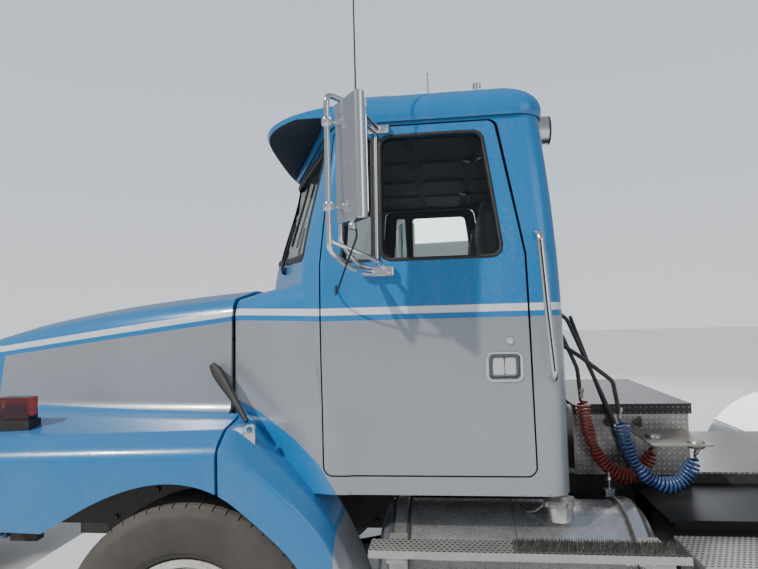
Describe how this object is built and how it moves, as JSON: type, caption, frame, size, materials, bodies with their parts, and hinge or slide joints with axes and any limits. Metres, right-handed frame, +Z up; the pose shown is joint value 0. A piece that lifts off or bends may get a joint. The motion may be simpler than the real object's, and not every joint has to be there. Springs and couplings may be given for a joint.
{
  "type": "semi truck tractor unit",
  "caption": "Day-cab conventional truck tractor with tilting hood, tandem drive axles, coupling plate, side tanks and deck toolbox behind the cab.",
  "frame": {"origin": "on the ground, on the centre line, half-way along the tractor", "axes": "+X forward, +Y to the driver's side, +Z up"},
  "size_m": [6.75, 2.8212, 3.55],
  "materials": {
    "body_paint": "semi-gloss, sun-faded",
    "glass": "tinted",
    "lamp_lens": "moulded lens",
    "chrome": "bright, slightly pitted",
    "frame_paint": "satin black, dusty",
    "cast_iron": "painted casting",
    "greased_steel": "dark, greasy",
    "aluminium": "mill finish, oxidised",
    "lid_paint": "dark chequer plate",
    "wheel_paint": "white wheel paint, dusty",
    "tyre": "dusty rubber",
    "black_rubber": "matt",
    "red_hose": "coiled nylon",
    "blue_hose": "coiled nylon",
    "interior_trim": "grained",
    "seat_cloth": "woven"
  },
  "bodies": {
    "chassis": {"air_line_blue": "blue_hose", "air_line_red": "red_hose", "air_tanks": "frame_paint", "battery_box": "aluminium", "bumper": "chrome", "cab_glass": "glass", "cab_shell": "body_paint", "cab_skirts": "body_paint", "coupling_base": "frame_paint", "dashboard": "interior_trim", "deck_plate": "aluminium", "drive_axles": "frame_paint", "engine": "cast_iron", "exhaust": "greased_steel", "frame": "frame_paint", "front_axle": "frame_paint", "fuel_tanks": "aluminium", "grab_handles": "chrome", "hose_post": "frame_paint", "latch_rings": "chrome", "mudflaps": "black_rubber", "radiator": "frame_paint", "rear_fenders": "aluminium", "rear_suspension": "frame_paint", "roof_cap": "body_paint", "roof_fittings": "chrome", "seats": "seat_cloth", "tail_lamps": "lamp_lens", "tank_mounts": "aluminium", "tank_steps": "aluminium", "toolbox": "aluminium"},
    "hood": {"hood_shell": "body_paint", "grille": "chrome", "hood_lamps": "lamp_lens", "hood_latches": "black_rubber"},
    "door_left": {"door_left": "body_paint", "door_glass_left": "glass", "mirror_left": "chrome"},
    "door_right": {"door_right": "body_paint", "door_glass_right": "glass", "mirror_right": "chrome"},
    "knuckle_left": {"knuckle_left": "frame_paint"},
    "knuckle_right": {"knuckle_right": "frame_paint"},
    "tie_rod": {"tie_rod": "frame_paint"},
    "steering_wheel": {"steering_wheel": "interior_trim"},
    "front_wheel_left": {"front_tyre_left": "tyre", "front_rim_left": "wheel_paint"},
    "front_wheel_right": {"front_tyre_right": "tyre", "front_rim_right": "wheel_paint"},
    "toolbox_lid": {"toolbox_lid": "lid_paint"},
    "coupling_plate": {"coupling_plate": "greased_steel"},
    "drive_wheel_1_left": {"drive_tyres_1_left": "tyre", "drive_rims_1_left": "wheel_paint"},
    "drive_wheel_1_right": {"drive_tyres_1_right": "tyre", "drive_rims_1_right": "wheel_paint"},
    "drive_wheel_2_left": {"drive_tyres_2_left": "tyre", "drive_rims_2_left": "wheel_paint"},
    "drive_wheel_2_right": {"drive_tyres_2_right": "tyre", "drive_rims_2_right": "wheel_paint"}
  },
  "joints": [
    {"name": "hood_tilt", "type": "hinge", "parent": "chassis", "child": "hood", "pos_m": [3.25, 0, 0.64], "axis": [0, 1, 0], "range_deg": [0, 60]},
    {"name": "door_left_swing", "type": "hinge", "parent": "chassis", "child": "door_left", "pos_m": [1.476, 1.062, 1.5], "axis": [0, 0, -1], "range_deg": [0, 70]},
    {"name": "door_right_swing", "type": "hinge", "parent": "chassis", "child": "door_right", "pos_m": [1.476, -1.062, 1.5], "axis": [0, 0, 1], "range_deg": [0, 70]},
    {"name": "steer_left", "type": "hinge", "parent": "chassis", "child": "knuckle_left", "pos_m": [1.975, 0.865, 0.505], "axis": [0, 0, 1], "range_deg": [-35, 35]},
    {"name": "steer_right", "type": "hinge", "parent": "chassis", "child": "knuckle_right", "pos_m": [1.975, -0.865, 0.505], "axis": [0, 0, 1], "range_deg": [-35, 35]},
    {"name": "tie_rod_swing", "type": "hinge", "parent": "knuckle_left", "child": "tie_rod", "pos_m": [1.825, 0.865, 0.368], "axis": [0, 0, 1], "range_deg": [-35, 35]},
    {"name": "steering_wheel_turn", "type": "hinge", "parent": "chassis", "child": "steering_wheel", "pos_m": [1.32554, 0.48, 1.82629], "axis": [-0.4819, 0, 0.8762], "range_deg": [-630, 630]},
    {"name": "front_wheel_left_spin", "type": "hinge", "parent": "knuckle_left", "child": "front_wheel_left", "pos_m": [1.975, 1.035, 0.505], "axis": [0, 1, 0], "continuous": true},
    {"name": "front_wheel_right_spin", "type": "hinge", "parent": "knuckle_right", "child": "front_wheel_right", "pos_m": [1.975, -1.035, 0.505], "axis": [0, 1, 0], "continuous": true},
    {"name": "toolbox_lid_lift", "type": "hinge", "parent": "chassis", "child": "toolbox_lid", "pos_m": [0.451, 0, 1.244], "axis": [0, 1, 0], "range_deg": [0, 85]},
    {"name": "coupling_tilt", "type": "hinge", "parent": "chassis", "child": "coupling_plate", "pos_m": [-1.9, 0, 1.08], "axis": [0, 1, 0], "range_deg": [-15, 15]},
    {"name": "drive_wheel_1_left_spin", "type": "hinge", "parent": "chassis", "child": "drive_wheel_1_left", "pos_m": [-1.325, 0.9175, 0.505], "axis": [0, 1, 0], "continuous": true},
    {"name": "drive_wheel_1_right_spin", "type": "hinge", "parent": "chassis", "child": "drive_wheel_1_right", "pos_m": [-1.325, -0.9175, 0.505], "axis": [0, 1, 0], "continuous": true},
    {"name": "drive_wheel_2_left_spin", "type": "hinge", "parent": "chassis", "child": "drive_wheel_2_left", "pos_m": [-2.645, 0.9175, 0.505], "axis": [0, 1, 0], "continuous": true},
    {"name": "drive_wheel_2_right_spin", "type": "hinge", "parent": "chassis", "child": "drive_wheel_2_right", "pos_m": [-2.645, -0.9175, 0.505], "axis": [0, 1, 0], "continuous": true}
  ],
  "couplings": [
    {"joint": "steer_right", "follows": "steer_left", "ratio": 1},
    {"joint": "tie_rod_swing", "follows": "steer_left", "ratio": -1},
    {"joint": "steering_wheel_turn", "follows": "steer_left", "ratio": 18}
  ]
}
